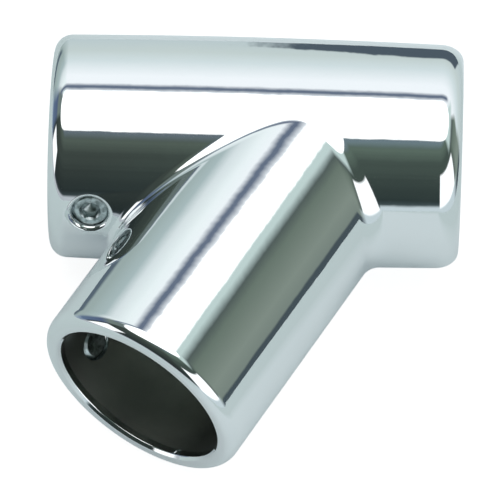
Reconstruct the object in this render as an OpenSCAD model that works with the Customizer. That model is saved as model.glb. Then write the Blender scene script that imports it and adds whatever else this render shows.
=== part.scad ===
// 60 degree tee for round boat rail: one polished casting and its two set screws.
// The origin is where the axes of the run and of the branch cross. The run lies along X,
// the branch leaves it downwards and to the left in the X-Y plane, and Z is square to both.

/* [Rail tube] */
// Outside diameter of the rail tube that goes through the run and into the branch
rail_d = 25; // [20:0.1:32]
// Gap between the rail tube and a bore, on the radius
rail_gap = 0.15; // [0.1:0.05:0.4]

/* [Run] */
// Wall of the run at its middle, where the buffed barrel is fullest
run_wall = 3.35; // [2.4:0.05:5]
// Reach of the run on the side that the branch leans to
run_reach_near = 36.9; // [30:0.1:60]
// Reach of the run on the other side
run_reach_far = 20.4; // [16:0.1:50]
// How far the barrel of the run falls off towards each end, on the radius
run_crown = 0.4; // [0.05:0.05:0.8]
// Radius that buffing leaves on the ends of the run
run_end_round = 2.2; // [0.5:0.1:2.4]

/* [Branch] */
// Angle between the branch and the run
branch_angle = 60; // [50:1:75]
// Distance from the origin to the mouth of the branch, along its axis
branch_reach = 46.6; // [38:0.1:70]
// Wall of the branch
branch_wall = 2.85; // [2:0.05:4.5]
// Radius that buffing leaves on the mouth of the branch
mouth_round = 1.5; // [0.4:0.1:2]
// Metal left between the bore of the run and the floor of the branch socket
floor_wall = 2.2; // [1.5:0.1:5]
// Radius in the corner of the socket floor
floor_round = 0.8; // [0.2:0.1:2]

/* [Edges and blends] */
// Chamfer that leads the tube into each bore
lead_in = 0.45; // [0.1:0.05:1]
// Width of the buffed blend on each side of the joint, in the wide corner
wide_blend = 2.3; // [1.5:0.1:3]
// Width of the blend over and under the branch, where the two barrels nearly run together
crest_blend = 1.1; // [0.9:0.1:2]
// Width of the blend in the narrow corner
narrow_blend = 1.7; // [1.2:0.1:2]

/* [Set screws] */
// Thread diameter of the set screws
screw_d = 5; // [4:0.5:8]
// Pitch of their thread
screw_pitch = 0.8; // [0.5:0.05:1.25]
// Length of a set screw
screw_len = 2.5; // [2:0.1:5]
// Width across the flats of its hex socket
socket_flats = 2.5; // [2:0.5:4]
// Depth of its hex socket
socket_deep = 1.2; // [0.8:0.1:2.5]
// Gap between a set screw and its hole, on the radius
screw_gap = 0.05; // [0.03:0.01:0.09]
// How far the point of a set screw stands into the bore before it is tightened
screw_stand = 0.15; // [0:0.05:0.2]
// Radius, or depth, of the buffed rim round each screw hole
rim_round = 0.7; // [0.2:0.1:1]
// Distance from the near end of the run to its set screw
run_screw_inset = 6; // [4.5:0.1:12]
// Tilt of that set screw out of the plane of the tee, towards +Z
run_screw_tilt = 21; // [-40:1:60]
// Distance from the mouth of the branch to its set screw
branch_screw_inset = 7; // [4.5:0.1:12]
// Tilt of that set screw out of the plane of the tee, towards +Z
branch_screw_tilt = -26; // [-60:1:0]

/* [Hidden] */
$fn = 128;

// Radii of the bores and of the two barrels
bore_r = rail_d / 2 + rail_gap;
run_r = bore_r + run_wall;
branch_r = bore_r + branch_wall;

// Length and middle of the run
run_len = run_reach_near + run_reach_far;
run_mid = (run_reach_far - run_reach_near) / 2;

// Directions in the plane of the tee: along the branch, and square to it on each side
along = [-cos(branch_angle), -sin(branch_angle), 0];
wide_side = [sin(branch_angle), -cos(branch_angle), 0];
narrow_side = -wide_side;

// Where the flat floor of the branch socket lies, measured from the origin
floor_at = (bore_r + floor_wall + bore_r * cos(branch_angle)) / sin(branch_angle);

// How far a cutting shape runs past the face that it cuts
past = 1;

// Radius of the run's barrel at x: fullest in the middle, falling off as a parabola
function barrel_r(x) = run_r - run_crown * pow((x - run_mid) / (run_len / 2), 2);

// Points of a quarter arc of radius r about c, from the angle a0 to a1
function arc(c, r, a0, a1, steps) =
    [for (i = [0:steps]) let (a = a0 + (a1 - a0) * i / steps) c + r * [cos(a), sin(a)]];

// Half outline of the run's barrel: crowned, with a rounded edge at each end
barrel_steps = 12;
round_steps = 6;
function barrel_outline() =
    let (
        y0 = -run_reach_near + run_end_round,
        y1 = run_reach_far - run_end_round,
        near_c = [barrel_r(y0) - run_end_round, y0],
        far_c = [barrel_r(y1) - run_end_round, y1]
    )
    concat(
        [[0, run_reach_far], [0, -run_reach_near]],
        arc(near_c, run_end_round, -90, 0, round_steps),
        [for (i = [1:barrel_steps - 1]) let (y = y0 + (y1 - y0) * i / barrel_steps) [barrel_r(y), y]],
        arc(far_c, run_end_round, 0, 90, round_steps)
    );

// Turns a shape drawn along Z so that it lies along the direction d
module point_along(d) {
    tilt = acos(d[2]);
    turn = atan2(d[1], d[0]);
    rotate([0, 0, turn]) rotate([0, tilt, 0]) children();
}

// Solid barrel of the run
module run_barrel() {
    rotate([0, 90, 0]) rotate_extrude() polygon(barrel_outline());
}

// Solid barrel of the branch, from the origin to its rounded mouth
module branch_barrel() {
    point_along(along)
        rotate_extrude()
            polygon(concat(
                [[0, 0], [branch_r, 0]],
                arc([branch_r - mouth_round, branch_reach - mouth_round], mouth_round, 0, 90, round_steps),
                [[0, branch_reach]]
            ));
}

// The blend is the track of a ball that rolls round the joint of the two barrels. The angle
// turn goes once round the branch: 0 in the wide corner, 180 in the narrow one.
function unit(v) = v / norm(v);
function round_branch(turn) = wide_side * cos(turn) + [0, 0, sin(turn)];
function round_run(turn) =
    let (z = branch_r * sin(turn) / run_r) [0, -sqrt(1 - z * z), z];
function blend_width(turn) =
    crest_blend
    + (wide_blend - crest_blend) * pow(max(cos(turn), 0), 2)
    + (narrow_blend - crest_blend) * pow(min(cos(turn), 0), 2);

// Radius of the ball: the flatter the joint, the larger the ball that spans the same width
function fillet_r(turn) = blend_width(turn) / tan(acos(round_run(turn) * round_branch(turn)) / 2);

// Centre of the ball at a turn: it touches the branch and the run at once
function ball_at(turn) =
    let (
        r = fillet_r(turn),
        out = (branch_r + r) * round_branch(turn),
        y = -sqrt(pow(run_r - run_crown / 8 + r, 2) - pow(out[2], 2)),
        s = (y - out[1]) / along[1],
        guess = s * along + out,
        y_true = -sqrt(pow(barrel_r(guess[0]) + r, 2) - pow(out[2], 2))
    )
    (y_true - out[1]) / along[1] * along + out;

// One section of the fillet at a turn: an arc sunk by a hair into both barrels, and a heel
// that lies well inside them
fillet_sink = 0.03;
fillet_heel = 1.2;
function fillet_section(turn, steps) =
    let (
        r = fillet_r(turn),
        c = ball_at(turn),
        to_run = unit([0, -c[1], -c[2]]),
        to_branch = -round_branch(turn),
        middle = unit(to_run + to_branch),
        half = acos(to_run * to_branch) / 2,
        side = unit(to_branch - to_run),
        centre = c + fillet_sink * middle,
        heel = c + (r / cos(half) + fillet_heel) * middle
    )
    concat(
        [for (i = [0:steps])
            let (a = -half + 2 * half * i / steps) centre + r * (cos(a) * middle + sin(a) * side)],
        [heel]
    );

// The fillet as one closed ring of sections
module fillet_ring() {
    rings = 96;
    steps = 5;
    size = steps + 2;
    // sections lie closer together where the joint turns sharply, over and under the branch
    turns = [for (i = [0:rings - 1]) let (t = 360 * i / rings) t + 0.22 * sin(2 * t) * 180 / PI];
    points = [for (t = turns) each fillet_section(t, steps)];
    faces = [
        for (i = [0:rings - 1], j = [0:size - 1])
            let (
                a = i * size + j,
                b = i * size + (j + 1) % size,
                c = ((i + 1) % rings) * size + (j + 1) % size,
                d = ((i + 1) % rings) * size + j
            )
            each [[a, b, c], [a, c, d]]
    ];
    polyhedron(points = points, faces = faces, convexity = 6);
}

// Bore of the run, with a lead-in at each end
module run_bore() {
    rotate([0, 90, 0]) {
        translate([0, 0, -run_reach_near - past]) cylinder(r = bore_r, h = run_len + 2 * past);
        translate([0, 0, run_reach_far - lead_in])
            cylinder(r1 = bore_r, r2 = bore_r + lead_in + past, h = lead_in + past);
        translate([0, 0, -run_reach_near - past])
            cylinder(r1 = bore_r + lead_in + past, r2 = bore_r, h = lead_in + past);
    }
}

// Socket of the branch, with a flat floor that stops the tube
module branch_socket() {
    point_along(along) {
        rotate_extrude()
            polygon(concat(
                [[0, floor_at]],
                arc([bore_r - floor_round, floor_at + floor_round], floor_round, -90, 0, round_steps),
                [[bore_r, branch_reach + past], [0, branch_reach + past]]
            ));
        translate([0, 0, branch_reach - lead_in])
            cylinder(r1 = bore_r, r2 = bore_r + lead_in + past, h = lead_in + past);
    }
}

// Direction and foot of each set screw: it points outwards from the axis of its bore
run_screw_x = -run_reach_near + run_screw_inset;
run_screw_foot = [run_screw_x, 0, 0];
run_screw_out = [0, -cos(run_screw_tilt), sin(run_screw_tilt)];
run_screw_skin = barrel_r(run_screw_x);
branch_screw_foot = (branch_reach - branch_screw_inset) * along;
branch_screw_out = narrow_side * cos(branch_screw_tilt) + [0, 0, sin(branch_screw_tilt)];

// Hole of a set screw through a wall whose outside lies at the radius skin, with a buffed rim
module screw_hole(foot, out, skin) {
    translate(foot) point_along(out) {
        translate([0, 0, bore_r / 2])
            cylinder(r = screw_d / 2 + screw_gap, h = skin - bore_r / 2 + past);
        translate([0, 0, skin - rim_round])
            cylinder(
                r1 = screw_d / 2 + screw_gap,
                r2 = screw_d / 2 + screw_gap + rim_round + past,
                h = rim_round + past
            );
    }
}

// A set screw along Z with its point at z = 0: hex socket outside, cup point inside
module set_screw() {
    thread_depth = 0.61 * screw_pitch;
    point_r = screw_d / 2 - thread_depth - 0.3 * thread_depth;
    point_chamfer = screw_d / 2 - point_r;
    cup_r = 0.7 * point_r;
    cup_deep = 0.35 * cup_r;
    edge = thread_depth / 2;
    difference() {
        rotate_extrude()
            polygon([
                [0, cup_deep], [cup_r, 0], [point_r, 0], [screw_d / 2, point_chamfer],
                [screw_d / 2, screw_len - edge], [screw_d / 2 - edge, screw_len], [0, screw_len]
            ]);
        translate([0, 0, screw_len - socket_deep])
            cylinder(r = socket_flats / 2 / cos(30), h = socket_deep + past, $fn = 6);
    }
}

// Puts a set screw in its hole, its point standing into the bore by screw_stand
module seated_screw(foot, out) {
    translate(foot) point_along(out) translate([0, 0, bore_r - screw_stand]) set_screw();
}

module tee_body() {
    color([0.8, 0.83, 0.84])
        difference() {
            union() {
                run_barrel();
                branch_barrel();
                fillet_ring();
            }
            run_bore();
            branch_socket();
            screw_hole(run_screw_foot, run_screw_out, run_screw_skin);
            screw_hole(branch_screw_foot, branch_screw_out, branch_r);
        }
}

module run_set_screw() {
    color([0.62, 0.63, 0.64]) seated_screw(run_screw_foot, run_screw_out);
}

module branch_set_screw() {
    color([0.62, 0.63, 0.64]) seated_screw(branch_screw_foot, branch_screw_out);
}

tee_body();
run_set_screw();
branch_set_screw();
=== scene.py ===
# %% [markdown]
# # A mirror-polished boat rail tee
#
# This fitting joins three pieces of hand rail on a boat. It is one stainless casting: a tube
# for the rail that runs through, and a shorter tube that leaves it at 60 degrees. Two small
# set screws clamp the rails. Its measured solids are already made, and they come in below as
# a fixed frame. Everything that follows makes a finer skin over them, gives it metal to be
# made of, and lights it, because a mirror shows nothing but the room around it.

# %% Load the measured solids
import math

import bmesh
import bpy
import numpy as np
from mathutils import Matrix, Vector
from mathutils.geometry import delaunay_2d_cdt


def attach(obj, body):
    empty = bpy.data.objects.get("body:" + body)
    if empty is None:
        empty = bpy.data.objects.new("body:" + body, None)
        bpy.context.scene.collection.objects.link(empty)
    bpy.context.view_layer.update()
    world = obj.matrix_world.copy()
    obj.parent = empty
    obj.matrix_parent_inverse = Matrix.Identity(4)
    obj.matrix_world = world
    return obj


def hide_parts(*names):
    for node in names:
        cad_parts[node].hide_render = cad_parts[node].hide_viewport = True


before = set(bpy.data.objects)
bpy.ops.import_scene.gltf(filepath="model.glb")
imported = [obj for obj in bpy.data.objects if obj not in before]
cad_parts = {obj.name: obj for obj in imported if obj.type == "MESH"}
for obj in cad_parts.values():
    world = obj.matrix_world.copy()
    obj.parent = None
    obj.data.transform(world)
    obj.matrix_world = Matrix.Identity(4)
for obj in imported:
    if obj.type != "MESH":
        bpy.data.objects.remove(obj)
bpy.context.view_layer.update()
MM = 0.001

# %% [markdown]
# The same sizes as the measured solids, in millimetres. The origin is where the axes of the
# two tubes cross. The run lies along X. The branch points to -X and -Y, and Z is square to
# both. Angles round the run start at -Y, which is the side of the branch; angles round the
# branch start in the wide corner between the tubes.

# %% Sizes of the fitting
BORE = 12.65
RUN_R, RUN_NEAR, RUN_FAR, RUN_CROWN, END_ROUND = 16.0, -36.9, 20.4, 0.4, 2.2
BRANCH_R, BRANCH_REACH, MOUTH_ROUND = 15.5, 46.6, 1.5
LEAN = math.radians(60)
LEAD_IN, FLOOR_ROUND = 0.45, 0.8
FLOOR_AT = (BORE + 2.2 + BORE * math.cos(LEAN)) / math.sin(LEAN)
WIDE_BLEND, CREST_BLEND, NARROW_BLEND = 2.3, 1.1, 1.7
SCREW_R, HOLE_R, PITCH, SCREW_LENGTH = 2.5, 2.55, 0.8, 2.5
RIM_ROUND, SCREW_STAND = 0.7, 0.15
RUN_MIDDLE, RUN_HALF = (RUN_FAR + RUN_NEAR) / 2, (RUN_FAR - RUN_NEAR) / 2
ALONG = np.array([-math.cos(LEAN), -math.sin(LEAN), 0.0])
WIDE_SIDE = np.array([math.sin(LEAN), -math.cos(LEAN), 0.0])
UP = np.array([0.0, 0.0, 1.0])
print("the branch socket is", round(BRANCH_REACH - FLOOR_AT, 2), "mm deep")

# %% [markdown]
# ## Turned surfaces
#
# A mirror is unforgiving: a facet or a kink too small to see in paint bends every reflection.
# A mesh that boolean tools cut has slivers and wandering normals along each seam. So the skin
# is made here from formulas instead. Each barrel and bore is a turned surface, which can say
# where its points are, which way they face, and how far any point stands above it.


# %% One class for barrels and bores
class Turned:
    """A surface turned round an axis through the origin. face is 1 outside and -1 in a bore."""

    def __init__(self, axis, zero, radius, slope, face=1):
        self.axis, self.zero, self.quarter = np.array(axis, float), np.array(zero, float), UP
        self.radius, self.slope, self.face = radius, slope, face

    def spoke(self, turn):
        return np.cos(turn)[..., None] * self.zero + np.sin(turn)[..., None] * self.quarter

    def at(self, s, turn):
        s, turn = np.broadcast_arrays(s, turn)
        return s[..., None] * self.axis + self.radius(s)[..., None] * self.spoke(turn)

    def outward(self, s, turn):
        s, turn = np.broadcast_arrays(s, turn)
        n = self.spoke(turn) - self.slope(s)[..., None] * self.axis
        return n / np.linalg.norm(n, axis=-1, keepdims=True)

    def near(self, p):
        """Height of points over the surface, and the s and turn of their feet on it."""
        x, side, rise = p @ self.axis, p @ self.zero, p @ self.quarter
        out, s = np.hypot(side, rise), x
        for _ in range(6):
            s = x + (out - self.radius(s)) * self.slope(s)
        height = (out - self.radius(s)) * np.sqrt(1 + self.slope(s) ** 2)
        return height, s, np.arctan2(rise, side)


def crown(s):
    return RUN_R - RUN_CROWN * ((s - RUN_MIDDLE) / RUN_HALF) ** 2


def crown_slope(s):
    return -2 * RUN_CROWN * (s - RUN_MIDDLE) / RUN_HALF**2


def even(value):
    return lambda s: np.full(np.shape(s), float(value))


run_skin = Turned((1, 0, 0), (0, -1, 0), crown, crown_slope)
run_bore = Turned((1, 0, 0), (0, -1, 0), even(BORE), even(0), face=-1)
branch_skin = Turned(ALONG, WIDE_SIDE, even(BRANCH_R), even(0))
branch_bore = Turned(ALONG, WIDE_SIDE, even(BORE), even(0), face=-1)
print("run's barrel at its ends:", crown(np.array([RUN_NEAR, RUN_FAR])))


# %% [markdown]
# Blends and rounded rims share one idea: a ball that rolls while it touches two surfaces. Its
# centre is found by sliding a point down a line until it stands at the ball's radius from the
# surface. Where it touches is where the blend begins, with no kink.


# %% Slide points to a height over a surface
def slide_to(surface, start, step, height):
    """Points start + h * step that stand at height over the surface, with their s and turn."""
    h = np.full(len(start), 60.0)
    for _ in range(24):
        found, s, turn = surface.near(start + h[:, None] * step)
        h = h - (found - height) / (surface.outward(s, turn) @ step)
    p = start + h[:, None] * step
    return p, *surface.near(p)[1:]


def fan_between(first, last, steps):
    """Unit directions that swing from first to last, one row a step."""
    swing = np.arccos(np.clip((first * last).sum(-1), -1, 1))[:, None]
    return np.array(
        [
            (np.sin((1 - f) * swing) * first + np.sin(f * swing) * last) / np.sin(swing)
            for f in np.linspace(0, 1, steps + 1)
        ]
    )


# %% [markdown]
# ## Patches
#
# The skin is a quilt of patches that share their border points. Each patch keeps exact
# normals from its formula, and its triangles are turned to agree with them. Grids serve where
# a patch is a plain ring of rows. Where a barrel is trimmed by a blend or by a hole, it is
# unrolled flat, filled with triangles by Delaunay's rule, and rolled up again.

# %% Collect patches
POLISHED, BORED = 0, 1
patches = []


def add_patch(name, points, normals, triangles, finish=POLISHED):
    points, normals = points.reshape(-1, 3), normals.reshape(-1, 3)
    a, b, c = (points[triangles[:, k]] for k in range(3))
    lean = (np.cross(b - a, c - a) * normals[triangles].mean(axis=1)).sum(axis=1)
    triangles = np.where(lean[:, None] < 0, triangles[:, ::-1], triangles)
    patches.append((points, normals, triangles, finish))
    print(f"{name}: {len(triangles)} triangles")


def ring_grid(rows, columns):
    """Triangles of a grid whose columns close into a ring."""
    r, c = np.meshgrid(np.arange(rows - 1), np.arange(columns), indexing="ij")
    a, b = r * columns + c, r * columns + (c + 1) % columns
    quads = np.stack([a, b, b + columns, a + columns], axis=-1).reshape(-1, 4)
    return np.concatenate([quads[:, [0, 1, 2]], quads[:, [0, 2, 3]]])


# %% Trim an unrolled surface
def inside(points, loops):
    """Whether each point is inside the loops, by counting the sides to its right."""
    odd = np.zeros(len(points), bool)
    x, y = points[:, :1], points[:, 1:]
    for loop in loops:
        a, b = loop, np.roll(loop, -1, axis=0)
        rise = np.where(a[:, 1] == b[:, 1], 1, b[:, 1] - a[:, 1])
        meets = a[:, 0] + (y - a[:, 1]) * (b[:, 0] - a[:, 0]) / rise
        hits = ((a[:, 1] > y) != (b[:, 1] > y)) & (x < meets)
        odd ^= hits.sum(axis=1) % 2 == 1
    return odd


def trimmed(name, surface, loops, s_lines, turns, finish=POLISHED):
    """Fills a surface between loops of (s, turn). The first loop is the outer one."""
    reach = surface.radius(np.array([s_lines[0]]))[0]
    spacing = reach * np.median(np.diff(turns))
    flat = np.array([spacing / np.median(np.diff(s_lines)), reach])
    grid = np.stack(np.meshgrid(s_lines, turns[1:-1], indexing="ij"), axis=-1).reshape(-1, 2)
    rims = np.concatenate(loops) * flat
    keep = inside(grid * flat, [loop * flat for loop in loops])
    for k in np.flatnonzero(keep):
        keep[k] = ((rims - grid[k] * flat) ** 2).sum(axis=1).min() > (0.6 * spacing) ** 2
    places = np.concatenate([*loops, grid[keep]])
    sides, first = [], 0
    for loop in loops:
        sides += [(first + k, first + (k + 1) % len(loop)) for k in range(len(loop))]
        first += len(loop)
    _, _, faces, source, _, _ = delaunay_2d_cdt(
        [Vector(p) for p in places * flat], sides, [], 0, 1e-7, True
    )
    index = np.array([s[0] if len(s) else -1 for s in source])
    triangles = index[np.array([f[:] for f in faces])]
    if (index < 0).any():
        raise ValueError(f"{name}: two borders cross")
    middles = (places * flat)[triangles].mean(axis=1)
    triangles = triangles[inside(middles, [loop * flat for loop in loops])]
    s, turn = places.T
    normals = surface.face * surface.outward(s, turn)
    add_patch(name, surface.at(s, turn), normals, triangles, finish)


# %% [markdown]
# ## The blend between the tubes
#
# Buffing leaves a soft blend of about the same width all round the joint, so the ball that
# describes it grows where the two barrels meet at a flat angle, over and under the branch,
# and shrinks in the narrow corner. The turns lie closer where the joint bends sharply.

# %% Roll the ball round the joint
AROUND = 256
even_turns = np.linspace(0, 2 * math.pi, AROUND, endpoint=False)
joint_turns = even_turns + 0.22 * np.sin(2 * even_turns)

rise = BRANCH_R * np.sin(joint_turns) / RUN_R
run_side = np.stack([0 * rise, -np.sqrt(1 - rise**2), rise], axis=-1)
meeting = np.arccos((run_side * branch_skin.spoke(joint_turns)).sum(-1))
width = (
    CREST_BLEND
    + (WIDE_BLEND - CREST_BLEND) * np.maximum(np.cos(joint_turns), 0) ** 2
    + (NARROW_BLEND - CREST_BLEND) * np.minimum(np.cos(joint_turns), 0) ** 2
)
ball = width / np.tan(meeting / 2)
lines = (BRANCH_R + ball)[:, None] * branch_skin.spoke(joint_turns)
centre, joint_s, joint_turn = slide_to(run_skin, lines, ALONG, ball)
BLEND_STEPS = 14
swing = fan_between(
    -run_skin.outward(joint_s, joint_turn), -branch_skin.spoke(joint_turns), BLEND_STEPS
)
add_patch(
    "blend", centre + ball[:, None] * swing, -swing, ring_grid(BLEND_STEPS + 1, AROUND)
)
branch_start = centre @ ALONG
print("ball radius from", round(ball.min(), 2), "to", round(ball.max(), 2), "mm")

# %% [markdown]
# ## Holes for the set screws
#
# Each hole goes square through a wall. Its rim is buffed round, by a ball that rolls inside
# the metal this time. The same points then border the barrel outside and the bore inside.

# %% Make both screw holes
HOLE_AROUND = 72
hole_turns = np.linspace(0, 2 * math.pi, HOLE_AROUND, endpoint=False)
screw_places = {
    "run": (np.array([RUN_NEAR + 6.0, 0, 0]), run_skin, run_bore, math.radians(21)),
    "branch": (39.6 * ALONG, branch_skin, branch_bore, math.radians(180 + 26)),
}
hole_rims = {}
for name, (foot, skin, bore, turn) in screw_places.items():
    out = skin.spoke(np.array(turn))
    spokes = (
        np.cos(hole_turns)[:, None] * skin.axis
        + np.sin(hole_turns)[:, None] * np.cross(out, skin.axis)
    )
    start = foot + (HOLE_R + RIM_ROUND) * spokes
    middle, s, t = slide_to(skin, start, out, -RIM_ROUND)
    swing = fan_between(skin.outward(s, t), -spokes, 8)
    add_patch(f"{name} rim", middle + RIM_ROUND * swing, swing, ring_grid(9, HOLE_AROUND))
    top = middle - RIM_ROUND * spokes
    bottom, bore_s, bore_t = slide_to(bore, foot + HOLE_R * spokes, out, 0.0)
    rows = np.linspace(0, 1, 9)[:, None, None]
    wall = top * (1 - rows) + bottom * rows
    add_patch(f"{name} hole", wall, np.broadcast_to(-spokes, wall.shape), ring_grid(9, HOLE_AROUND))
    wrap = (lambda a: a) if name == "run" else (lambda a: np.mod(a, 2 * math.pi))
    hole_rims[name] = (
        np.stack([s, wrap(t)], axis=-1),
        np.stack([bore_s, wrap(bore_t)], axis=-1),
        out,
    )

# %% [markdown]
# ## Ends and mouths
#
# Seen in section, an end is a path: along the barrel, round the buffed edge, across the flat,
# down the lead-in that guides the tube, and into the bore. Every corner of it is rounded a
# little, because a truly sharp edge never glints. A wheel that comes in along the barrel takes
# off more before the corner than after it, so a corner has two lengths: where its round starts
# before it, and where it ends after it.


# %% Draw a path with rounded corners and turn it
def unit(v):
    return v / np.linalg.norm(v)


def left(v):
    return np.array([-v[1], v[0]])


def rounded_path(corners, rounds, steps):
    """(s, radius) points of a path of straight runs with rounded corners, and its normals."""
    corners = np.array(corners, float)
    points, heading = [corners[0]], [unit(corners[1] - corners[0])]
    for before, corner, after, (start, end), n in zip(
        corners, corners[1:], corners[2:], rounds, steps
    ):
        u, v = unit(corner - before), unit(after - corner)
        for a in np.linspace(0, math.pi / 2, n + 1):
            points.append(corner - start * (1 - math.sin(a)) * u + end * (1 - math.cos(a)) * v)
            heading.append(unit(start * math.cos(a) * u + end * math.sin(a) * v))
    points.append(corners[-1])
    heading.append(unit(corners[-1] - corners[-2]))
    return np.array(points), np.array([left(w) for w in heading])


def turn_path(name, surface, path, turns, flip=1, finish=POLISHED):
    (points, normals), spokes = path, surface.spoke(turns)
    place = points[:, 0, None, None] * surface.axis + points[:, 1, None, None] * spokes
    facing = normals[:, 0, None, None] * surface.axis + normals[:, 1, None, None] * spokes
    add_patch(name, place, flip * facing, ring_grid(len(points), len(turns)), finish)


# %% Turn the three ends and the socket's floor
FLAT_R = BORE + LEAD_IN
SMALL_ROUNDS, IN_BORE = ((0.1, 0.1), (0.1, 0.1)), 0.9
NEAR_START, FAR_START, MOUTH_START = 2.4, 3.1, 1.9
run_turns = np.linspace(-math.pi, math.pi, AROUND, endpoint=False)
run_limits = []
for end, way, start in ((RUN_NEAR, -1, NEAR_START), (RUN_FAR, 1, FAR_START)):
    begin = end - way * start
    first = np.array([begin, crown(begin)])
    corner = first + start * np.array([way, way * crown_slope(begin)])
    path = rounded_path(
        [first, corner, (end, FLAT_R), (end - way * LEAD_IN, BORE), (end - way * (LEAD_IN + IN_BORE), BORE)],
        ((start, END_ROUND), *SMALL_ROUNDS),
        (18, 4, 4),
    )
    turn_path(f"run end at {end}", run_skin, path, run_turns, flip=way)
    run_limits.append(begin)

mouth_begin = BRANCH_REACH - MOUTH_START
path = rounded_path(
    [
        (mouth_begin, BRANCH_R),
        (BRANCH_REACH, BRANCH_R),
        (BRANCH_REACH, FLAT_R),
        (BRANCH_REACH - LEAD_IN, BORE),
        (BRANCH_REACH - LEAD_IN - IN_BORE, BORE),
    ],
    ((MOUTH_START, MOUTH_ROUND), *SMALL_ROUNDS),
    (14, 4, 4),
)
turn_path("branch mouth", branch_skin, path, joint_turns)
path = rounded_path(
    [(FLOOR_AT + 2, BORE), (FLOOR_AT, BORE), (FLOOR_AT, 6.0), (FLOOR_AT, 0.0)],
    ((FLOOR_ROUND, FLOOR_ROUND), (0.01, 0.01)),
    (6, 1),
)
turn_path("socket floor", branch_bore, path, joint_turns, finish=BORED)


# %% Fill the barrels and the bores between their borders
def rectangle(s_lines, turns):
    """The border of an unrolled tube, once round."""
    low, high = turns[0], turns[-1]
    sides = [
        [(s, low) for s in s_lines[:-1]],
        [(s_lines[-1], t) for t in turns[:-1]],
        [(s, high) for s in s_lines[:0:-1]],
        [(s_lines[0], t) for t in turns[:0:-1]],
    ]
    return np.array(sum(sides, []))


run_round = np.append(run_turns, math.pi)
branch_round = np.append(joint_turns, 2 * math.pi)
skin_lines = np.linspace(*run_limits, 44)
joint_loop = np.stack([joint_s, joint_turn], axis=-1)
trimmed(
    "run barrel",
    run_skin,
    [rectangle(skin_lines, run_round), joint_loop, hole_rims["run"][0]],
    skin_lines,
    run_round,
)
bore_lines = np.linspace(RUN_NEAR + LEAD_IN + IN_BORE, RUN_FAR - LEAD_IN - IN_BORE, 40)
trimmed(
    "run bore",
    run_bore,
    [rectangle(bore_lines, run_round), hole_rims["run"][1]],
    bore_lines,
    run_round,
    BORED,
)
low = np.append(branch_start, branch_start[0])
seam = np.linspace(low[0], mouth_begin, 16)
border = (
    [(s, t) for s, t in zip(low[:-1], branch_round[:-1])]
    + [(s, 2 * math.pi) for s in seam[:-1]]
    + [(mouth_begin, t) for t in branch_round[:0:-1]]
    + [(s, 0.0) for s in seam[:0:-1]]
)
trimmed(
    "branch barrel",
    branch_skin,
    [np.array(border), hole_rims["branch"][0]],
    np.linspace(low.min(), mouth_begin, 34),
    branch_round,
)
socket_lines = np.linspace(FLOOR_AT + 2, BRANCH_REACH - LEAD_IN - IN_BORE, 18)
trimmed(
    "branch bore",
    branch_bore,
    [rectangle(socket_lines, branch_round), hole_rims["branch"][1]],
    socket_lines,
    branch_round,
    BORED,
)

# %% [markdown]
# ## Sew the quilt
#
# Border points that two patches share become one vertex, so that the casting is a single
# closed shell. The exact normals go in afterwards, one for each corner of each triangle, so
# that a patch keeps its own where it meets another at an edge.


# %% Join the patches into one closed mesh
def sew(name, pieces, finishes):
    """One mesh object from patches. Their finishes are material slots."""
    sizes = np.cumsum([0] + [len(p) for p, *_ in pieces[:-1]])
    points = np.concatenate([p for p, *_ in pieces])
    normals = np.concatenate([n for _, n, *_ in pieces])
    corners = np.concatenate([t + k for (_, _, t, _), k in zip(pieces, sizes)])
    finish = np.concatenate([np.full(len(t), f) for _, _, t, f in pieces])
    _, keep, joined = np.unique(
        np.round(points / 1e-4 + 0.237), axis=0, return_index=True, return_inverse=True
    )
    triangles = joined.reshape(-1)[corners]
    solid = (triangles != np.roll(triangles, 1, axis=1)).all(axis=1)
    triangles, corners, finish = triangles[solid], corners[solid], finish[solid]
    mesh = bpy.data.meshes.new(name)
    mesh.from_pydata((points[keep] * MM).tolist(), [], triangles.tolist())
    mesh.polygons.foreach_set("use_smooth", np.ones(len(triangles), bool))
    mesh.polygons.foreach_set("material_index", finish.astype(np.int32))
    mesh.normals_split_custom_set(normals[corners.reshape(-1)].tolist())
    for material in finishes:
        mesh.materials.append(material)
    edges = np.sort(
        np.concatenate([triangles[:, [0, 1]], triangles[:, [1, 2]], triangles[:, [2, 0]]]), axis=1
    )
    uses = np.unique(edges, axis=0, return_counts=True)[1]
    p = points[keep][triangles]
    volume = (np.cross(p[:, 0], p[:, 1]) * p[:, 2]).sum() / 6
    print(f"{name}: {len(triangles)} triangles, {(uses != 2).sum()} open edges, {volume:.0f} mm3")
    piece = bpy.data.objects.new(name, mesh)
    bpy.context.scene.collection.objects.link(piece)
    return piece


# %% [markdown]
# ## A small language for nodes
#
# Shader maths reads best as sums. This class wraps a socket, so that Python's own operators
# add Math nodes. One method makes every other kind of node, with its settings first and then
# its sockets. Geometry trees use the same two.


# %% Wrap sockets and trees
class Field:
    """A socket that can stand in a sum."""

    def __init__(self, graph, socket):
        self.graph, self.socket = graph, socket

    def math(self, operation, *others):
        values = {k: v for k, v in enumerate((self, *others))}
        return self.graph.add("ShaderNodeMath", {"operation": operation}, values)

    def __add__(self, other):
        return self.math("ADD", other)

    def __sub__(self, other):
        return self.math("SUBTRACT", other)

    def __rsub__(self, other):
        return (self * -1) + other

    def __mul__(self, other):
        return self.math("MULTIPLY", other)

    def __truediv__(self, other):
        return self.math("DIVIDE", other)

    def __rtruediv__(self, other):
        return self.math("POWER", -1.0) * other

    __radd__, __rmul__ = __add__, __mul__

    def ramp(self, start, end):
        """0 up to start, 1 from end on, and a straight rise between."""
        settings = {"clamp": True}
        return self.graph.add(
            "ShaderNodeMapRange", settings, {"Value": self, "From Min": start, "From Max": end}
        )


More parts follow.
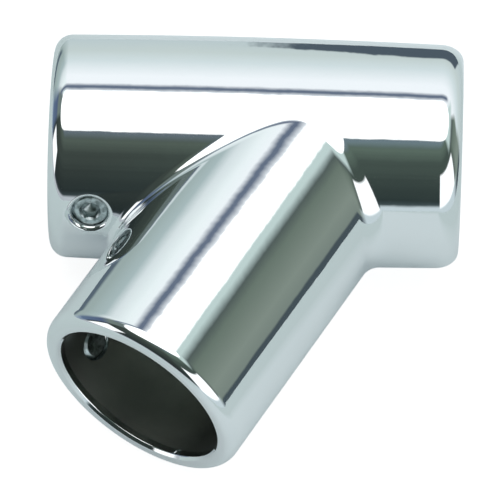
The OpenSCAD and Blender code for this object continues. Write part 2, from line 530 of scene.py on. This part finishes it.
class Graph:
    """A node tree that is built by calls."""

    def __init__(self, tree):
        self.tree = tree
        tree.nodes.clear()

    def add(self, kind, settings=None, values=None, out=0):
        node = self.tree.nodes.new(kind)
        for name, value in (settings or {}).items():
            if name == "stops":
                ramp = node.color_ramp.elements
                while len(ramp) < len(value):
                    ramp.new(0.5)
                for element, (place, colour) in zip(ramp, value):
                    element.position, element.color = place, colour
            else:
                setattr(node, name, value)
        for key, value in (values or {}).items():
            for one in value if isinstance(value, list) else [value]:
                if isinstance(one, Field):
                    self.tree.links.new(one.socket, node.inputs[key])
                else:
                    node.inputs[key].default_value = one
        return Field(self, node.outputs[out]) if len(node.outputs) else node

    def split(self, vector):
        first = self.add("ShaderNodeSeparateXYZ", values={0: vector})
        return [Field(self, output) for output in first.socket.node.outputs]

    def mix_as(self, way, share, a, b):
        settings = {"data_type": "RGBA", "blend_type": way}
        return self.add("ShaderNodeMix", settings, {0: share, 6: a, 7: b}, out=2)

    def mix(self, share, a, b):
        """The colour a where share is 0, and b where it is 1."""
        return self.mix_as("MIX", share, a, b)


def colour(r, g, b):
    return (r, g, b, 1.0)


# %% [markdown]
# ## Polished steel
#
# Buffed stainless is close to a mirror, but no wheel leaves it perfectly flat: it rolls very
# slightly, so that straight reflections get a soft, uneven edge. A slow noise in the bump
# gives that. A much finer noise stretched into lines makes the last hairlines of the wheel,
# and touches only the roughness.


# %% Mix the polish
def polished_steel():
    material = bpy.data.materials.new("buffed_mirror")
    material.use_nodes = True
    g = Graph(material.node_tree)
    place = g.add("ShaderNodeTexCoord", out="Object")
    roll = g.add("ShaderNodeTexNoise", values={"Vector": place, "Scale": 160.0, "Detail": 1.5})
    ripple = g.add("ShaderNodeTexNoise", values={"Vector": place, "Scale": 340.0, "Detail": 2.0})
    drawn = g.add(
        "ShaderNodeMapping", values={"Vector": place, "Scale": (300.0, 9000.0, 9000.0)}
    )
    hairline = g.add("ShaderNodeTexNoise", values={"Vector": drawn, "Scale": 1.0, "Detail": 3.0})
    cloud = g.add("ShaderNodeTexNoise", values={"Vector": place, "Scale": 90.0, "Detail": 3.0})
    rough = 0.035 + hairline.ramp(0.55, 0.8) * 0.03 + cloud.ramp(0.45, 0.75) * 0.03
    tint = g.mix(cloud, colour(0.80, 0.83, 0.84), colour(0.84, 0.86, 0.86))
    uneven = roll * 0.9 + ripple * 0.55
    bump = g.add(
        "ShaderNodeBump", values={"Strength": 1.0, "Distance": 0.00002, "Height": uneven}
    )
    shader = g.add(
        "ShaderNodeBsdfPrincipled",
        values={"Base Color": tint, "Metallic": 1.0, "Roughness": rough, "Normal": bump},
    )
    g.add("ShaderNodeOutputMaterial", values={"Surface": shader})
    return material


# %% [markdown]
# ## Bored steel
#
# Inside, the tool has left fine rings, and no wheel reaches far enough to take them out. They
# repeat along the axis of the bore, so the pattern needs only the distance along that axis.


# %% Mix the bored finish
def bored_steel(name, axis):
    material = bpy.data.materials.new(name)
    material.use_nodes = True
    g = Graph(material.node_tree)
    place = g.add("ShaderNodeTexCoord", out="Object")
    along = g.add(
        "ShaderNodeVectorMath",
        {"operation": "DOT_PRODUCT"},
        {0: place, 1: tuple(float(v) for v in axis)},
        out="Value",
    )
    wander = g.add("ShaderNodeTexNoise", values={"Vector": place, "Scale": 260.0, "Detail": 3.0})
    rings = (along * (2 * math.pi / 0.0009) + wander * 4.0).math("SINE")
    stain = g.add("ShaderNodeTexNoise", values={"Vector": place, "Scale": 110.0, "Detail": 4.0})
    tint = g.mix(stain.ramp(0.35, 0.7), colour(0.43, 0.45, 0.42), colour(0.56, 0.58, 0.54))
    rough = 0.27 + stain * 0.12 + rings * 0.015
    bump = g.add(
        "ShaderNodeBump",
        values={"Strength": 0.5, "Distance": 0.000001, "Height": rings + wander * 0.8},
    )
    shader = g.add(
        "ShaderNodeBsdfPrincipled",
        values={"Base Color": tint, "Metallic": 1.0, "Roughness": rough, "Normal": bump},
    )
    g.add("ShaderNodeOutputMaterial", values={"Surface": shader})
    return material


mirror = polished_steel()
turned = bored_steel("bored_wall", (0.6, 0.8, 0.0))
casting = sew("tee_casting", patches, [mirror, turned])
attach(casting, "casting")
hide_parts("tee_body")

# %% [markdown]
# ## Satin steel
#
# The set screws are turned from bar and tumbled, not buffed. Their steel is duller and a little darker than
# the casting's. Fine rings from the tool run round the real screws; here a fine noise grain in the bump and
# roughness stands in for them.


# %% Mix the satin finish
def satin_steel():
    material = bpy.data.materials.new("satin_steel")
    material.use_nodes = True
    g = Graph(material.node_tree)
    place = g.add("ShaderNodeTexCoord", out="Object")
    grain = g.add("ShaderNodeTexNoise", values={"Vector": place, "Scale": 2400.0, "Detail": 3.0})
    stain = g.add("ShaderNodeTexNoise", values={"Vector": place, "Scale": 900.0, "Detail": 3.0})
    tint = g.mix(stain.ramp(0.4, 0.6), colour(0.26, 0.31, 0.31), colour(0.66, 0.74, 0.75))
    rough = 0.2 + grain * 0.14 + stain * 0.08
    bump = g.add(
        "ShaderNodeBump", values={"Strength": 0.5, "Distance": 0.00001, "Height": grain}
    )
    shader = g.add(
        "ShaderNodeBsdfPrincipled",
        values={"Base Color": tint, "Metallic": 1.0, "Roughness": rough, "Normal": bump},
    )
    g.add("ShaderNodeOutputMaterial", values={"Surface": shader})
    return material


satin = satin_steel()

# %% [markdown]
# ## Growing pieces with Geometry Nodes
#
# A screw thread is a rule, not a shape to be modelled by hand: how far the metal stands out
# depends only on the height and on the angle round the axis. Geometry Nodes can say that rule
# once, with its sizes as named inputs. These helpers make a tree with such inputs, and turn what
# it grows into a plain mesh that stands in its hole.


# %% Plant a tree and harvest its mesh
def sized_tree(name, sizes):
    """A geometry tree with a named input for each size, and those inputs as fields."""
    tree = bpy.data.node_groups.new(name, "GeometryNodeTree")
    for label in sizes:
        tree.interface.new_socket(name=label, in_out="INPUT", socket_type="NodeSocketFloat")
    tree.interface.new_socket(name="Finish", in_out="INPUT", socket_type="NodeSocketMaterial")
    tree.interface.new_socket(name="Geometry", in_out="OUTPUT", socket_type="NodeSocketGeometry")
    g = Graph(tree)
    entry = g.add("NodeGroupInput").socket.node
    return g, {output.name: Field(g, output) for output in entry.outputs if output.name}


def close_tree(g, geometry, finish):
    """Ends a tree with plain geometry in its finish."""
    real = g.add("GeometryNodeRealizeInstances", values={"Geometry": geometry})
    coated = g.add("GeometryNodeSetMaterial", values={"Geometry": real, "Material": finish})
    g.add("NodeGroupOutput", values={"Geometry": coated})


def harvest(name, tree, sizes, finish, placed):
    """The mesh that a tree grows with these sizes in millimetres, moved to its place."""
    seed = bpy.data.objects.new(name, bpy.data.meshes.new(name + "_seed"))
    bpy.context.scene.collection.objects.link(seed)
    modifier = seed.modifiers.new("grow", "NODES")
    modifier.node_group = tree
    for socket in tree.interface.items_tree:
        if socket.in_out == "INPUT":
            modifier[socket.identifier] = (
                finish if socket.name == "Finish" else sizes[socket.name] * MM
            )
    ready = seed.evaluated_get(bpy.context.evaluated_depsgraph_get())
    mesh = bpy.data.meshes.new_from_object(ready)
    seed.modifiers.remove(modifier)
    mesh.transform(placed)
    mesh.name = name
    mesh.materials.clear()
    mesh.materials.append(finish)
    mesh.polygons.foreach_set("material_index", np.zeros(len(mesh.polygons), np.int32))
    seed.data = mesh
    mesh.calc_loop_triangles()
    print(f"{name}: {len(mesh.loop_triangles)} triangles")
    return seed


def smooth_below(g, mesh, degrees):
    """Smooth shading, but for edges that bend more than this."""
    angle = g.add("GeometryNodeInputMeshEdgeAngle")
    soft = g.add(
        "GeometryNodeSetShadeSmooth", values={"Geometry": mesh, "Shade Smooth": True}
    )
    return g.add(
        "GeometryNodeSetShadeSmooth",
        {"domain": "EDGE"},
        {
            "Geometry": soft,
            "Selection": angle.math("GREATER_THAN", math.radians(degrees)),
            "Shade Smooth": False,
        },
    )


# %% [markdown]
# ## The set screws
#
# A set screw is all thread, with a hex socket for the key at one end and a cup at the other that
# bites the rail. The tree starts from a plain tube and pushes each of its points in or out: the
# angle and the height give a phase, the phase gives a ridge with a flat top, and two cones cut
# the ridge away near the ends, as the maker's chamfers do. Socket and cup are cut out last.

# %% Describe a set screw
SCREW_SIZES = {
    "Radius": SCREW_R,
    "Root": 2.04,
    "Pitch": PITCH,
    "Length": SCREW_LENGTH,
    "Point": 1.87,
    "Crown": 2.26,
    "Flats": 2.5,
    "Socket": 1.2,
    "Cup": 1.3,
    "Cup depth": 0.46,
}


def thread_phase(g, height, angle, pitch):
    """0 on the middle of a crest and 1 on the middle of a root."""
    turns = height / pitch - angle * (1 / (2 * math.pi))
    return (turns.math("FRACT") * 2 - 1).math("ABSOLUTE") * -1 + 1


def set_screw_tree():
    g, size = sized_tree("set_screw", SCREW_SIZES)
    tube = g.add(
        "GeometryNodeMeshCylinder",
        {"fill_type": "NGON"},
        {"Vertices": 96, "Side Segments": 56, "Radius": 1.0, "Depth": size["Length"]},
    )
    x, y, z = g.split(g.add("GeometryNodeInputPosition"))
    height = z + size["Length"] * 0.5
    phase = thread_phase(g, height, y.math("ARCTAN2", x), size["Pitch"])
    crest = size["Radius"] - (size["Radius"] - size["Root"]) * phase.ramp(0.12, 0.86)
    low_cone = size["Point"] + height
    high_cone = size["Crown"] + (size["Length"] - height) * 1.2
    reach = crest.math("MINIMUM", low_cone).math("MINIMUM", high_cone)
    spot = g.add("ShaderNodeCombineXYZ", values={0: x * reach, 1: y * reach, 2: height})
    threaded = g.add("GeometryNodeSetPosition", values={"Geometry": tube, "Position": spot})

    def cutter(kind, settings, values, lift):
        shape = g.add(kind, settings, values)
        at = g.add("ShaderNodeCombineXYZ", values={2: lift})
        return g.add("GeometryNodeTransform", values={"Geometry": shape, "Translation": at})

    across_corners = size["Flats"] * (0.5 / math.cos(math.pi / 6))
    hexagon = cutter(
        "GeometryNodeMeshCylinder",
        {},
        {"Vertices": 6, "Radius": across_corners, "Depth": size["Socket"] * 2},
        size["Length"],
    )
    drilled = cutter(
        "GeometryNodeMeshCone",
        {},
        {
            "Vertices": 36,
            "Radius Top": size["Flats"] * 0.47,
            "Radius Bottom": size["Flats"] * 0.02,
            "Depth": size["Flats"] * 0.3,
        },
        size["Length"] - size["Socket"] - size["Flats"] * 0.27,
    )
    mouth = cutter(
        "GeometryNodeMeshCone",
        {},
        {
            "Vertices": 64,
            "Radius Top": size["Flats"] * 0.66,
            "Radius Bottom": size["Flats"] * 0.5,
            "Depth": size["Flats"] * 0.2,
        },
        size["Length"] - size["Flats"] * 0.12,
    )
    cup = cutter(
        "GeometryNodeMeshCone",
        {},
        {
            "Vertices": 64,
            "Radius Top": size["Cup"] * 0.02,
            "Radius Bottom": size["Cup"] * 1.02,
            "Depth": size["Cup depth"] * 1.02,
        },
        size["Cup depth"] * -0.02,
    )
    cut = threaded
    for tool in (hexagon, drilled, mouth, cup):
        cut = g.add(
            "GeometryNodeMeshBoolean",
            {"operation": "DIFFERENCE", "solver": "EXACT"},
            {"Mesh 1": cut, "Mesh 2": tool},
        )
    close_tree(g, smooth_below(g, cut, 32), size["Finish"])
    return g.tree


# %% Stand one screw in each hole
def hole_frame(name, height):
    """A place whose Z is the hole's axis, at a height over the axis of the tube."""
    foot, skin, _, turn = screw_places[name]
    out, first = skin.spoke(np.array(turn)), skin.axis
    placed = np.eye(4)
    placed[:3, 0], placed[:3, 1], placed[:3, 2] = first, np.cross(out, first), out
    placed[:3, 3] = (foot + height * out) * MM
    return Matrix(placed.tolist())


screw_tree = set_screw_tree()
for name in screw_places:
    place = hole_frame(name, BORE - SCREW_STAND)
    screw = harvest(f"{name}_screw_threaded", screw_tree, SCREW_SIZES, satin, place)
    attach(screw, f"{name}_screw")
    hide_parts(f"{name}_set_screw")

# %% [markdown]
# ## The threads in the holes
#
# The screws run in threads of the casting, which show where a screw has been driven in or backed
# out. Here the rule is a path: a helix with the screw's pitch, and a small ridge swept along it.
# The helix starts at the angle that puts the ridge in the screw's groove, so that the two mesh at
# rest and after any whole turn.

# %% Sweep a ridge along a helix
TAP_SIZES = {
    "Wall": HOLE_R + 0.03,
    "Crest": 2.13,
    "Pitch": PITCH,
    "Base": 0.66,
    "Top": 0.1,
    "Height": 1.5,
}


def tapped_tree():
    g, size = sized_tree("tapped_hole", TAP_SIZES)
    helix = g.add(
        "GeometryNodeCurveSpiral",
        values={
            "Resolution": 72,
            "Rotations": size["Height"] / size["Pitch"],
            "Start Radius": size["Wall"],
            "End Radius": size["Wall"],
            "Height": size["Height"],
            "Reverse": True,
        },
    )
    level = g.add("GeometryNodeSetCurveNormal", {"mode": "Z_UP"}, {"Curve": helix})
    depth = size["Wall"] - size["Crest"]
    corners = (
        (0.0, size["Base"] * 0.5),
        (depth * -1, size["Top"] * 0.5),
        (depth * -1, size["Top"] * -0.5),
        (0.0, size["Base"] * -0.5),
    )
    ridge = g.add(
        "GeometryNodeCurvePrimitiveQuadrilateral",
        {"mode": "POINTS"},
        {
            f"Point {k}": g.add("ShaderNodeCombineXYZ", values={0: out, 1: up})
            for k, (out, up) in enumerate(corners, 1)
        },
    )
    swept = g.add(
        "GeometryNodeCurveToMesh",
        values={"Curve": level, "Profile Curve": ridge, "Fill Caps": True},
    )
    close_tree(g, smooth_below(g, swept, 30), size["Finish"])
    return g.tree


tap_tree = tapped_tree()
FIRST_RIDGE = BORE - SCREW_STAND + 0.75 * PITCH
quarter = Matrix.Rotation(math.pi / 2, 4, "Z")
both = bmesh.new()
for name in screw_places:
    place = hole_frame(name, FIRST_RIDGE) @ quarter
    ridge = harvest(f"{name}_hole_thread", tap_tree, TAP_SIZES, mirror, place)
    both.from_mesh(ridge.data)
    bpy.data.objects.remove(ridge)
thread_mesh = bpy.data.meshes.new("tee_threads")
thread_mesh.materials.append(mirror)
both.to_mesh(thread_mesh)
threads = bpy.data.objects.new("tee_threads", thread_mesh)
bpy.context.scene.collection.objects.link(threads)
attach(threads, "casting")

# %% [markdown]
# ## The camera
#
# The picture was taken with a long lens from well above the fitting. The numbers come from
# matching the outlines of the tubes. The lens looks a little below the origin, which puts the
# object where it sits in the frame with no shift.

# %% Place the camera
DISTANCE, AZIMUTH, ELEVATION, ROLL = 820.5, 1.051, 57.833, 0.765
FOCAL_PIXELS, IMAGE_SIDE, ORIGIN_PIXEL = 5839.0, 500, (315.5, 152.9)
az, el, roll = (math.radians(v) for v in (AZIMUTH, ELEVATION, ROLL))
back = np.array([math.sin(az) * math.cos(el), -math.cos(az) * math.cos(el), math.sin(el)])
right = np.array([math.cos(az), math.sin(az), 0.0])
upward = np.cross(back, right)
right, upward = (
    math.cos(roll) * right + math.sin(roll) * upward,
    math.cos(roll) * upward - math.sin(roll) * right,
)
off_x = (ORIGIN_PIXEL[0] - IMAGE_SIDE / 2) / FOCAL_PIXELS
off_y = (IMAGE_SIDE / 2 - ORIGIN_PIXEL[1]) / FOCAL_PIXELS
axis = unit(back + right * off_x + upward * off_y)
right = unit(np.cross(upward, axis))
upward = np.cross(axis, right)
lens = bpy.data.cameras.new("camera")
lens.sensor_width = 36.0
lens.lens = FOCAL_PIXELS / IMAGE_SIDE * lens.sensor_width
lens.clip_start, lens.clip_end = 0.05, 20.0
camera = bpy.data.objects.new("camera", lens)
placed = np.eye(4)
placed[:3, 0], placed[:3, 1], placed[:3, 2] = right, upward, axis
placed[:3, 3] = back * DISTANCE * MM
camera.matrix_world = Matrix(placed.tolist())
bpy.context.scene.collection.objects.link(camera)
bpy.context.scene.camera = camera
bpy.context.scene.view_settings.view_transform = "Standard"
print("lens", round(lens.lens, 1), "mm at", DISTANCE, "mm")

# %% [markdown]
# ## The studio
#
# Polished metal is lit by what it reflects, so the room is painted into the world by direction,
# and it stays put when the camera moves. Overhead hangs one wide round light, which makes the
# broad white bands. Round its far side runs a dark frame. Behind is a pale wall that grows darker
# towards the floor. The room on the camera's side is dark, which gives the deep bands that make
# the metal read as chrome, and the right side is a dull olive. A second light stands low at the
# front right and catches the blend and the end. Rays that come straight from the camera see
# plain white instead.


# %% Paint the room
def between(value, start, end, soft):
    """1 between start and end, falling to 0 over twice the softness at either side."""
    return value.ramp(start - soft, start + soft) * value.ramp(end + soft, end - soft)


def wall_of(g, height, *stops):
    """A wall whose colour changes with height, from (degrees, colour) pairs."""
    low, high = stops[0][0], stops[-1][0]
    places = [((degrees - low) / (high - low), tone) for degrees, tone in stops]
    return g.add("ShaderNodeValToRGB", {"stops": places}, {"Fac": height.ramp(low, high)})


def studio():
    world = bpy.data.worlds.new("studio")
    world.use_nodes = True
    bpy.context.scene.world = world
    g = Graph(world.node_tree)
    x, y, z = g.split(g.add("ShaderNodeTexCoord", out="Generated"))
    to_degrees = 180 / math.pi
    height = z.math("ARCSINE") * to_degrees
    round_to = x.math("ARCTAN2", y * -1) * to_degrees
    over = z.math("MAXIMUM", 0.02)
    box_x, box_y = x / over, y / over

    shelves = g.add(
        "ShaderNodeTexNoise", {"noise_dimensions": "1D"}, {"W": height, "Scale": 0.11, "Detail": 2.0}
    )
    front = wall_of(
        g,
        height,
        (3.0, colour(0.64, 0.74, 0.78)),
        (6.0, colour(0.055, 0.08, 0.085)),
        (11.0, colour(0.03, 0.045, 0.044)),
        (48.0, colour(0.068, 0.095, 0.082)),
        (64.0, colour(0.12, 0.17, 0.14)),
        (71.0, colour(0.16, 0.22, 0.25)),
    )
    side = wall_of(
        g,
        height,
        (-4.8, colour(0.07, 0.095, 0.11)),
        (-2.6, colour(0.22, 0.27, 0.24)),
        (12.0, colour(0.255, 0.31, 0.27)),
        (38.0, colour(0.165, 0.215, 0.18)),
        (48.0, colour(0.085, 0.11, 0.11)),
    )
    back = wall_of(
        g,
        height,
        (-20.0, colour(0.58, 0.68, 0.7)),
        (5.0, colour(0.65, 0.74, 0.73)),
        (22.0, colour(0.76, 0.86, 0.88)),
        (44.0, colour(1.06, 1.1, 1.14)),
    )
    left = wall_of(
        g,
        height,
        (-8.0, colour(0.5, 0.6, 0.7)),
        (4.0, colour(0.13, 0.19, 0.3)),
        (28.0, colour(0.1, 0.14, 0.24)),
        (38.0, colour(0.19, 0.24, 0.22)),
        (60.0, colour(0.16, 0.2, 0.2)),
    )
    corner = wall_of(
        g,
        height,
        (3.0, colour(0.38, 0.47, 0.46)),
        (22.0, colour(0.46, 0.57, 0.58)),
        (32.0, colour(0.8, 0.88, 0.9)),
        (46.0, colour(0.96, 1.05, 1.06)),
    )
    dim = g.mix(shelves.ramp(0.3, 0.7), colour(0.9, 0.9, 0.91), colour(1.09, 1.09, 1.08))
    front = g.mix_as("MULTIPLY", height.ramp(4.0, 8.0), front, dim)
    front = g.mix_as("MULTIPLY", round_to.ramp(1.0, -7.0), front, colour(0.8, 0.74, 0.76))
    room = g.mix(round_to.ramp(62.0, 78.0), front, side)
    lean = height.ramp(22.0, 34.0) * 11.0
    room = g.mix((round_to - lean).ramp(94.0, 102.0), room, back)
    room = g.mix(round_to.ramp(-92.0, -100.0), room, left)
    slant = height.ramp(20.0, 45.0) * 14.0
    room = g.mix((round_to + slant).ramp(-112.0, -124.0), room, corner)
    room = g.mix(round_to.ramp(-155.0, -172.0), room, back)

    def lamp(room, near, far, low, high):
        """Adds an upright lamp between two directions and two heights."""
        share = between(round_to, near, far, 1.5) * between(height, low, high, 1.5)
        return g.mix(share, room, colour(1.35, 1.38, 1.4))

    room = lamp(room, 8.0, 66.0, 2.5, 38.0)
    room = lamp(room, -90.0, -62.0, 4.0, 30.0)
    full_turn = (round_to + 360.0).math("MODULO", 360.0)
    taper = (full_turn - 178.6).math("MAXIMUM", 0.0) * 4.0
    gap = full_turn.ramp(149.0, 151.0) * between(height + taper, -60.0, 1.0, 1.5)
    gap = gap * full_turn.ramp(181.5, 180.5)
    room = g.mix(gap, room, colour(0.085, 0.115, 0.145))
    cleft = between(full_turn, 206.0, 236.0, 3.0) * between(height, -14.0, -5.0, 2.0)
    room = g.mix(cleft, room, colour(0.11, 0.15, 0.19))

    flap = box_x.ramp(0.95, 0.72) * between(round_to, 60.0, 130.0, 6.0) * height.ramp(40.0, 44.0)
    room = g.mix(flap, room, colour(0.62, 0.76, 0.74))
    off_frame = (box_y - 0.62).math("ABSOLUTE")
    frame_line = off_frame.ramp(0.12, 0.02) * between(box_x, -0.9, 0.5, 0.1)
    room = g.mix(frame_line * height.ramp(20.0, 30.0), room, colour(0.15, 0.19, 0.27))
    across = ((box_x + 0.02).math("ABSOLUTE") / 0.625).math("POWER", 2.5)
    behind = ((box_y - 0.11).math("ABSOLUTE") / 0.40).math("POWER", 2.5)
    spread = (across + behind).math("POWER", 0.4)
    light = spread.ramp(1.05, 0.98) * z.ramp(0.3, 0.4)
    room = g.mix(light, room, colour(1.7, 1.7, 1.7))
    seen = g.add("ShaderNodeLightPath", out="Is Camera Ray")
    shown = g.mix(seen, room, colour(1.0, 1.0, 1.0))
    air = g.add("ShaderNodeBackground", values={"Color": shown, "Strength": 1.0})
    g.add("ShaderNodeOutputWorld", values={"Surface": air})


studio()

# %% [markdown]
# The fitting lies on a pale card, which its lower flanks reflect. The card ends a hand's breadth
# behind it and to its right, and past those edges the metal shows dark gaps. To the camera the
# card is almost white, and it keeps a faint shadow.

# %% Lay the card
CARD = {"left": -1.5, "right": 0.13, "front": -1.5, "back": 0.075}
card_mesh = bpy.data.meshes.new("card")
card_mesh.from_pydata(
    [
        (CARD[across], CARD[along], -RUN_R * MM)
        for across, along in (("left", "front"), ("right", "front"), ("right", "back"), ("left", "back"))
    ],
    [],
    [(0, 1, 2, 3)],
)
card = bpy.data.objects.new("card", card_mesh)
bpy.context.scene.collection.objects.link(card)
paper = bpy.data.materials.new("pale_card")
paper.use_nodes = True
g = Graph(paper.node_tree)
x, _, _ = g.split(g.add("ShaderNodeTexCoord", out="Object"))
# Painted shade: the card's colour, as the metal sees it, is darker away from the fitting along X, a painted
# falloff of light.
painted_falloff = x.math("ABSOLUTE").ramp(0.028, 0.05)
tone = g.mix(painted_falloff, colour(0.8, 0.86, 0.87), colour(0.66, 0.74, 0.73))
matt = g.add("ShaderNodeBsdfDiffuse", values={"Color": tone})
# Painted light: a faint glow is added to the card for every ray but the camera's, so that its reflection in
# the metal is brighter.
painted_glow = g.add("ShaderNodeEmission", values={"Color": colour(0.09, 0.1, 0.11), "Strength": 1.0})
plain = g.add("ShaderNodeAddShader", values={0: matt, 1: painted_glow})
glow = g.add("ShaderNodeEmission", values={"Color": colour(1, 1, 1), "Strength": 0.88})
dim = g.add("ShaderNodeBsdfDiffuse", values={"Color": colour(0.35, 0.35, 0.35)})
bright = g.add("ShaderNodeAddShader", values={0: dim, 1: glow})
seen = g.add("ShaderNodeLightPath", out="Is Camera Ray")
both = g.add("ShaderNodeMixShader", values={0: seen, 1: plain, 2: bright})
g.add("ShaderNodeOutputMaterial", values={"Surface": both})
card_mesh.materials.append(paper)
